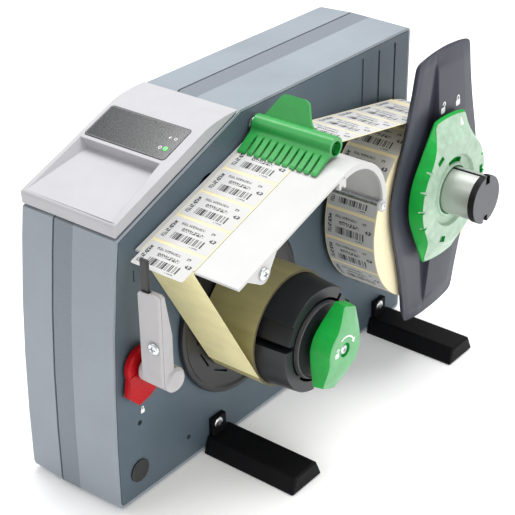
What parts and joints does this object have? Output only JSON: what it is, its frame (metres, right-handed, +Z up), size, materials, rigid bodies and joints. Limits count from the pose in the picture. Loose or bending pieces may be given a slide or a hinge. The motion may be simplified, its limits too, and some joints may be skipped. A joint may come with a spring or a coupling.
{
  "type": "label dispenser",
  "caption": "Bench label dispenser: slim housing with a side plate that carries a supply roll, a peeling table with pressure comb, a sensor arm and a motor-driven liner winder.",
  "frame": {"origin": "middle of the machine's outline on the surface it stands on", "axes": "+Z up, +Y from the peeling edge at the front to the supply roll at the back, +X out of the mounting plate towards the roll's open side"},
  "size_m": [0.1854, 0.376, 0.2629],
  "materials": {
    "housing_grey": "satin",
    "plate_grey": "matte",
    "cap_grey": "matte",
    "panel_black": "gloss",
    "led_green": "gloss",
    "black_plastic": "gloss",
    "foot_black": "matte",
    "dark_grey": "matte",
    "green_plastic": "gloss",
    "red_plastic": "gloss",
    "sensor_grey": "matte",
    "white_sheet": "satin",
    "aluminium": "satin",
    "steel": "brushed",
    "cap_dark": "matte",
    "label_white": "matte",
    "liner_yellow": "satin",
    "roll_cream": "matte",
    "card_brown": "matte",
    "board_green": "matte",
    "rubber_black": "matte"
  },
  "bodies": {
    "frame": {"left_cover": "housing_grey", "main_housing": "housing_grey", "seam_gasket": "rubber_black", "control_cap": "cap_grey", "control_panel": "panel_black", "status_led": "led_green", "mounting_plate": "plate_grey", "hole_plug": "black_plastic", "front_foot": "foot_black", "front_foot_screw": "steel", "rear_foot": "foot_black", "rear_foot_screw": "steel", "front_pad": "rubber_black", "rear_pad": "rubber_black", "winder_bearing": "steel", "drive_belt": "rubber_black", "drive_motor": "dark_grey", "circuit_board": "board_green", "power_supply": "dark_grey", "power_inlet": "black_plastic", "supply_tube": "aluminium", "tube_end_cap": "cap_dark", "dispensing_table": "white_sheet", "front_bar": "steel", "front_bar_screw": "steel", "rear_bar": "steel", "rear_bar_screw": "steel", "comb_axle": "steel", "label_web": "label_white", "liner_web": "liner_yellow", "peeled_label": "label_white", "pivot_stud": "steel"},
    "roll": {"paper_core": "card_brown", "label_roll": "roll_cream"},
    "stop": {"margin_stop": "dark_grey"},
    "stop_lock": {"stop_knob": "green_plastic"},
    "winder": {"winder_spindle": "steel", "winder_flange": "black_plastic", "drum_core": "black_plastic", "wound_liner": "liner_yellow", "winder_pulley": "black_plastic", "knob_screw": "steel"},
    "winder_lock": {"winder_knob": "green_plastic"},
    "jaw_1": {"drum_jaw_1": "black_plastic"},
    "jaw_2": {"drum_jaw_2": "black_plastic"},
    "jaw_3": {"drum_jaw_3": "black_plastic"},
    "comb": {"pressure_comb": "green_plastic"},
    "sensor_arm": {"sensor_arm_front": "sensor_grey", "sensor_arm_rear": "sensor_grey", "sensor_finger": "black_plastic", "arm_screw": "steel"},
    "arm_clamp": {"clamp_lever": "red_plastic"},
    "mains_switch": {"power_switch": "black_plastic"},
    "motor_drive": {"motor_pulley": "aluminium"}
  },
  "joints": [
    {"name": "roll_spin", "type": "hinge", "parent": "frame", "child": "roll", "pos_m": [-0.0077, 0.1147, 0.1319], "axis": [1, 0, 0], "continuous": true},
    {"name": "stop_slide", "type": "slide", "parent": "frame", "child": "stop", "axis": [1, 0, 0], "range_m": [0, 0.025]},
    {"name": "stop_knob_turn", "type": "hinge", "parent": "stop", "child": "stop_lock", "pos_m": [-0.0077, 0.1147, 0.1517], "axis": [1, 0, 0], "range_deg": [0, 20]},
    {"name": "winder_spin", "type": "hinge", "parent": "frame", "child": "winder", "pos_m": [-0.0077, -0.0574, 0.105], "axis": [1, 0, 0], "continuous": true},
    {"name": "winder_knob_turn", "type": "hinge", "parent": "winder", "child": "winder_lock", "pos_m": [-0.0077, -0.0574, 0.105], "axis": [1, 0, 0], "range_deg": [0, 90]},
    {"name": "jaw_1_slide", "type": "slide", "parent": "winder", "child": "jaw_1", "axis": [0, 0.7071, 0.7071], "range_m": [0, 0.0016]},
    {"name": "jaw_2_slide", "type": "slide", "parent": "winder", "child": "jaw_2", "axis": [0, -0.9659, 0.2588], "range_m": [0, 0.0016]},
    {"name": "jaw_3_slide", "type": "slide", "parent": "winder", "child": "jaw_3", "axis": [0, 0.2588, -0.9659], "range_m": [0, 0.0016]},
    {"name": "comb_lift", "type": "hinge", "parent": "frame", "child": "comb", "pos_m": [-0.0077, -0.0365, 0.2392], "axis": [1, 0, 0], "range_deg": [-50, 0], "stiffness_Nm_per_rad": 0.02, "springref_deg": 20.05},
    {"name": "sensor_arm_swing", "type": "hinge", "parent": "frame", "child": "sensor_arm", "pos_m": [-0.0077, -0.1611, 0.1115], "axis": [1, 0, 0], "range_deg": [0, 25]},
    {"name": "clamp_lever_turn", "type": "hinge", "parent": "frame", "child": "arm_clamp", "pos_m": [-0.0077, -0.1611, 0.1115], "axis": [1, 0, 0], "range_deg": [0, 60]},
    {"name": "mains_switch_tilt", "type": "hinge", "parent": "frame", "child": "mains_switch", "pos_m": [-0.0357, 0.1609, 0.0665], "axis": [1, 0, 0], "range_deg": [0, 16]},
    {"name": "motor_pulley_spin", "type": "hinge", "parent": "frame", "child": "motor_drive", "pos_m": [-0.0077, 0.0314, 0.062], "axis": [1, 0, 0], "continuous": true}
  ],
  "couplings": [
    {"joint": "jaw_1_slide", "follows": "winder_knob_turn", "m_per_rad": 0.00095493},
    {"joint": "jaw_2_slide", "follows": "winder_knob_turn", "m_per_rad": 0.00095493},
    {"joint": "jaw_3_slide", "follows": "winder_knob_turn", "m_per_rad": 0.00095493},
    {"joint": "motor_pulley_spin", "follows": "winder_spin", "ratio": 2.8182}
  ]
}
